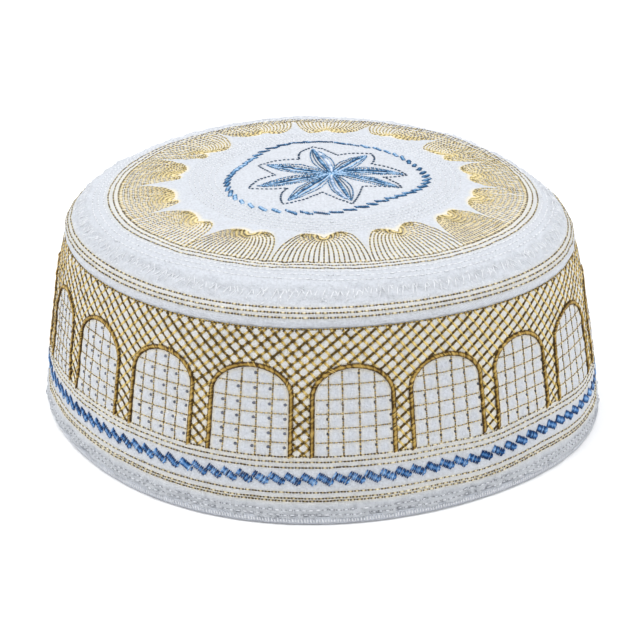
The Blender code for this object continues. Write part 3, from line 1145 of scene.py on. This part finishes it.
def hem_ribs():
    """Close upright stitches around the fold of the binding."""
    at = (np.arange(HEM_RIBS) + random.normal(0.0, 0.08, HEM_RIBS)) * 360.0 / HEM_RIBS
    lean = random.normal(0.1, 0.05, HEM_RIBS)
    starts = np.stack([at - lean, 0.05 + random.normal(0.0, 0.08, HEM_RIBS)], 1)
    ends = np.stack([at + lean, hem.length - 0.1 + random.normal(0.0, 0.05, HEM_RIBS)], 1)
    return starts, ends


# Materials


class Look:
    """A material in the making: each method adds nodes and returns the output to go on with."""

    def __init__(self, name):
        self.material = bpy.data.materials.new(name)
        self.material.use_nodes = True
        self.tree = self.material.node_tree
        self.shader = self.tree.nodes["Principled BSDF"]

    def fill(self, node, inputs):
        """Set a node's inputs to constants, or link them to outputs of other nodes."""
        for socket, value in inputs.items():
            if isinstance(value, bpy.types.NodeSocket):
                self.tree.links.new(value, node.inputs[socket])
            else:
                node.inputs[socket].default_value = value

    def add(self, kind, **inputs):
        node = self.tree.nodes.new("ShaderNode" + kind)
        self.fill(node, inputs)
        return node

    def attribute(self, name):
        node = self.add("Attribute")
        node.attribute_name = name
        return node.outputs["Fac"]

    def math(self, operation, *values):
        node = self.add("Math")
        node.operation = operation
        self.fill(node, dict(enumerate(values)))
        return node.outputs["Value"]

    def noise(self, scale, detail):
        place_output = self.add("TexCoord").outputs["Object"]
        return self.add("TexNoise", Vector=place_output, Scale=scale, Detail=detail).outputs["Fac"]

    def colours(self, level, stops):
        """Colour at a level between the stops of a ramp."""
        node = self.add("ValToRGB", Fac=level)
        elements = node.color_ramp.elements
        while len(elements) < len(stops):
            elements.new(0.5)
        for element, (position, colour) in zip(elements, stops):
            element.position = position
            element.color = (*colour, 1.0)
        return node.outputs["Color"]

    def mix(self, share, plain, colour):
        node = self.add("Mix")
        node.data_type = "RGBA"
        self.fill(node, {"Factor": share, "A": plain, "B": (*colour, 1.0)})
        return node.outputs["Result"]

    def bump(self, height, strength, distance):
        node = self.add("Bump", Height=height, Strength=strength, Distance=distance)
        self.fill(self.shader, {"Normal": node.outputs["Normal"]})


def thread_material(name, dark, middle, bright, roughness, metallic):
    """Glossy thread: painted shade where a stitch dives into the cloth, a painted highlight on its back.
    """
    look = Look(name)
    off_middle = look.math("ABSOLUTE", look.math("MULTIPLY_ADD", look.attribute("along"), 2.0, -1.0))
    level = look.math("ADD", look.math("MULTIPLY_ADD", off_middle, -0.5, 0.25), look.attribute("tone"))
    deep = tuple(0.6 * c for c in dark)
    look.fill(look.shader, {
        "Base Color": look.colours(level, ((0.0, deep), (0.42, dark), (0.54, middle), (0.85, bright))),
        "Roughness": roughness,
        "Metallic": metallic,
        "Specular IOR Level": 0.2,
    })
    look.bump(look.noise(9000.0, 2.0), 0.35, 0.00008)
    return look.material


def cloth_material(name, colour, shaded, weave_scale):
    """Closely woven matt cotton, with painted shade where thread presses it and wherever else its mesh
    marks, and a painted warm glow beside gold thread.
    """
    look = Look(name)
    blotched = tuple(0.86 * c for c in colour)
    plain = look.colours(look.noise(1250.0, 3.0), ((0.34, blotched), (0.58, colour)))
    painted_shade = look.mix(look.attribute("painted_shade"), plain, shaded)
    look.fill(look.shader, {
        "Base Color": look.mix(look.attribute("warm"), painted_shade, WARM_CLOTH),
        "Roughness": 0.82,
        "Sheen Weight": 0.25,
        "Sheen Roughness": 0.5,
        "Specular IOR Level": 0.3,
    })
    cloth_map = look.add("UVMap")
    cloth_map.uv_map = "cloth_mm"
    waves = []
    for axis in ("X", "Y"):
        wave = look.add("TexWave", Vector=cloth_map.outputs["UV"], Scale=weave_scale, Distortion=0.6)
        wave.wave_type = "BANDS"
        wave.bands_direction = axis
        waves.append(wave.outputs["Fac"])
    height = look.math("ADD", look.math("MULTIPLY", *waves), look.noise(1400.0, 3.0))
    look.bump(height, 0.8, 0.00028)
    return look.material


# Threads and cloths of the scene

(GOLD, GOLD_NET, GOLD_CORD, PALE_GOLD, CREAM_GOLD,
 BLUE, SKY_BLUE, PALE_BLUE, NAVY, WHITE, SHADOW) = (thread_material(*thread) for thread in THREADS)
# The second colour of each cloth is its painted shade
COTTON = cloth_material("white_cotton", (0.785, 0.82, 0.885), (0.65, 0.675, 0.715), 0.7)
BINDING = cloth_material("binding_cotton", (0.73, 0.765, 0.835), (0.6, 0.6, 0.62), 0.9)

# Stitches of the side band

starts, ends, falls = lattice_stitches()
lattice = Run("lattice", (starts, ends), lattice_shades(starts[:, 0], falls))
cords = Run("arch cord", join([arch_cord(arch) for arch in ALL_ARCHES]))
upright, level = grid_stitches()
grid = [Run("upright grid", upright), Run("level grid", level)]

starts, ends = row_dashes(GOLD_ROWS, 1.0, 0.08)
gold_rows = Run("gold row", (starts, ends), row_painted_sheen(starts[:, 0]))
edging = Run("edging", dashes(band.base, ring_line(EDGING_ROW), 1.7, 0.05))
zigzag = Run("zigzag", zigzag_stitches())

white_rows = Run("white row", row_dashes(WHITE_ROWS, 0.4, 0.1))
# Dark marks of painted shadow in the needle eyes, lighter and wider in the first four arches
eyes = [Run("wide eyelet", eyelets(range(4))), Run("eyelet", eyelets(range(4, len(ALL_ARCHES))))]

# Thread pieces of the side band: name, material, slot, runs
BAND_THREADS = (
    ("band_lattice", GOLD_NET, "gold_thread", [lattice]),
    ("band_arch_cords", GOLD_CORD, "gold_thread", [cords]),
    ("band_grid", GOLD, "gold_thread", grid),
    ("band_gold_rows", CREAM_GOLD, "gold_thread", [gold_rows]),
    ("band_edging", GOLD_NET, "gold_thread", [edging]),
    ("band_zigzag", BLUE, "blue_thread", [zigzag]),
    ("band_white_rows", WHITE, "white_thread", [white_rows]),
    ("band_eyelet_shadows", SHADOW, "gold_thread", eyes),
)

# Stitches of the crown

pairs, shades = [], []
for shell in SHELLS:
    side_shade = -0.15 * math.exp(-((shell[2] + 90.0) / 48.0) ** 2)
    for line in shell_lines(shell, SHELL_SHARES):
        pairs.append(dashes(plan_base, line, 1.65, 0.14))
        shades.append(side_shade + 0.16 * np.linspace(0.0, 1.0, len(pairs[-1][0])) ** 3)
shells = [Run("shell", join(pairs), np.concatenate(shades))]
lines = [line for shell in SHELLS for line in shell_lines(shell, LOBE_SHARES, LOBE_START)]
shells.append(Run("shell lobe", plan_dashes(lines, 1.5, 0.1)))

lines = [plan_ring(GOLD_RING_MIDDLE, gold_ring, step) for step in GOLD_RING_STEPS]
rings = [Run("gold ring", plan_dashes(lines, ROW_PITCH, 0.1))]
rows = []
for row in RIM_ROWS:
    rows.append(dashes(crown.base, ring_line(row, random.uniform(0, 5)), ROW_PITCH, 0.1))
rings.append(Run("rim row", join(rows)))

blue_satin, pale_satin = [], []
for index, leaf in enumerate(LEAVES):
    pale_vein = (leaf[5], 0.45, 0.66, blue_satin)
    if index in WIDE_LEAVES:
        pale_vein = (leaf[5], 0.9, 0.44, pale_satin)
    for swell, half_width, tone, satin in ((leaf[4], 0.74, 0.36, blue_satin), pale_vein):
        stitches = satin_band(leaf_line(leaf, swell, 0.04, 0.95), half_width)
        waves = 0.1 * np.sin(np.arange(len(stitches[0])) / 3.0)
        satin.append(Run("vein", stitches, tone + waves))
spokes = heading(np.arange(SPOKES) * math.tau / SPOKES)
blue_satin.append(Run("spoke", (FLOWER_MIDDLE - 0.2 * spokes, FLOWER_MIDDLE + 1.7 * spokes)))
starts, ends, tones = blue_ring_stitches()
blue_satin.append(Run("blue ring", (starts, ends), tones))

edges, inner = [], []
for leaf in LEAVES:
    for swell in leaf[2:4]:
        edges.append(dashes(plan_base, leaf_line(leaf, swell, 0.05), 1.35, 0.3))
        inner_line = leaf_line(leaf, 0.55 * swell + 0.45 * leaf[4], 0.08, 0.93)
        inner.append(dashes(plan_base, inner_line, 1.35, 0.4))
blue_satin.append(Run("leaf edge", join(edges)))
flower_lines = [Run("inner leaf", join(inner))]
flower_lines.append(Run("petal", dashes(plan_base, flower_outline(), 1.5, 0.72)))

lines = [plan_ring(WHITE_RING_MIDDLE, radius) for radius in WHITE_RINGS]
inner_rings = plan_dashes(lines, 1.6, 0.25)
lines = [plan_ring(GOLD_RING_MIDDLE, gold_ring, step) for step in OUTER_WHITE_STEPS]
white = [Run("white ring", join([inner_rings, plan_dashes(lines, ROW_PITCH, 0.2)]))]
white.append(Run("shoulder", shoulder_stitches()))

# Thread pieces of the crown: name, material, slot, runs
CROWN_THREADS = (
    ("crown_shells", PALE_GOLD, "gold_thread", shells),
    ("crown_gold_rings", CREAM_GOLD, "gold_thread", rings),
    ("crown_blue_satin", SKY_BLUE, "blue_thread", blue_satin),
    ("crown_pale_satin", PALE_BLUE, "blue_thread", pale_satin),
    ("crown_flower_lines", NAVY, "blue_thread", flower_lines),
    ("crown_white_rows", WHITE, "white_thread", white),
)

# Meshes of the threads and the cloths; the rows lie closer where the crown is embroidered

crown_downs = np.concatenate([
    np.linspace(0.0, 34.0, 30)[:-1],
    np.linspace(34.0, 88.0, 77)[:-1],
    np.linspace(88.0, crown.length + SEAM_REACH, 5),
])
band_downs = np.linspace(-SEAM_REACH, band.length, 102)

for panel, threads, downs, columns in (
    (band, BAND_THREADS, band_downs, 900),
    (crown, CROWN_THREADS, crown_downs, 720),
):
    for name, material, slot, runs in threads:
        panel.press(runs, slot == "gold_thread")
    panel.settle_relief()
    panel.lay_grid(downs, columns)
    for name, material, slot, runs in threads:
        thread_piece(name, panel, runs, material)

inner_downs = np.concatenate([[crown.length + SEAM_REACH], np.linspace(86.0, 0.0, 11)])
crown_cloth = cloth_piece("crown_cloth", crown, inner_downs, COTTON)
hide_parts("crown_panel")

inner_downs = np.linspace(band.length, -SEAM_REACH, 9)
band_cloth = cloth_piece("band_cloth", band, inner_downs, COTTON)
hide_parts("side_band")

hem_cloth = binding_piece("hem_cloth", BINDING)
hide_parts("hem_binding")
thread_piece("hem_ribs", hem, [Run("hem rib", hem_ribs())], WHITE)

# Floor, light and camera

bpy.ops.mesh.primitive_plane_add(size=12.0, location=(0.0, 0.0, -0.0002))
floor = bpy.context.object
floor.name = "floor"
pale_floor = Look("pale_floor")
pale_floor.fill(pale_floor.shader, {
    "Base Color": (0.95, 0.95, 0.95, 1.0),
    "Roughness": 0.9,
    "Emission Color": (1.0, 1.0, 1.0, 1.0),
    "Emission Strength": 0.08,
})
floor.data.materials.append(pale_floor.material)

world = bpy.data.worlds.new("studio")
bpy.context.scene.world = world
world.use_nodes = True
world.node_tree.nodes["Background"].inputs["Color"].default_value = (0.95, 0.97, 1.0, 1.0)
world.node_tree.nodes["Background"].inputs["Strength"].default_value = 0.35

# Wide far lights: name, strength, spread, tilt from straight above to the front and to the right
LIGHTS = (
    ("top_light", 0.78, 25.0, 0.0, -4.0),
    ("left_light", 1.66, 60.0, 0.0, -40.0),
    ("right_light", 1.56, 60.0, -2.0, 42.0),
)
for name, strength, spread, tilt_front, tilt_side in LIGHTS:
    light = bpy.data.lights.new(name, "SUN")
    light.energy = strength
    light.angle = math.radians(spread)
    lamp = bpy.data.objects.new(name, light)
    bpy.context.scene.collection.objects.link(lamp)
    lamp.rotation_euler = (math.radians(tilt_front), math.radians(tilt_side), 0.0)

camera_data = bpy.data.cameras.new("camera")
camera_data.sensor_width = 36.0
camera_data.lens = 164.96
camera = bpy.data.objects.new("camera", camera_data)
bpy.context.scene.collection.objects.link(camera)
camera.location = (-0.00067, -0.90313, 0.43013)
camera.rotation_euler = (math.radians(65.99), 0.0, 0.0)
bpy.context.scene.camera = camera
bpy.context.scene.view_settings.view_transform = "Standard"
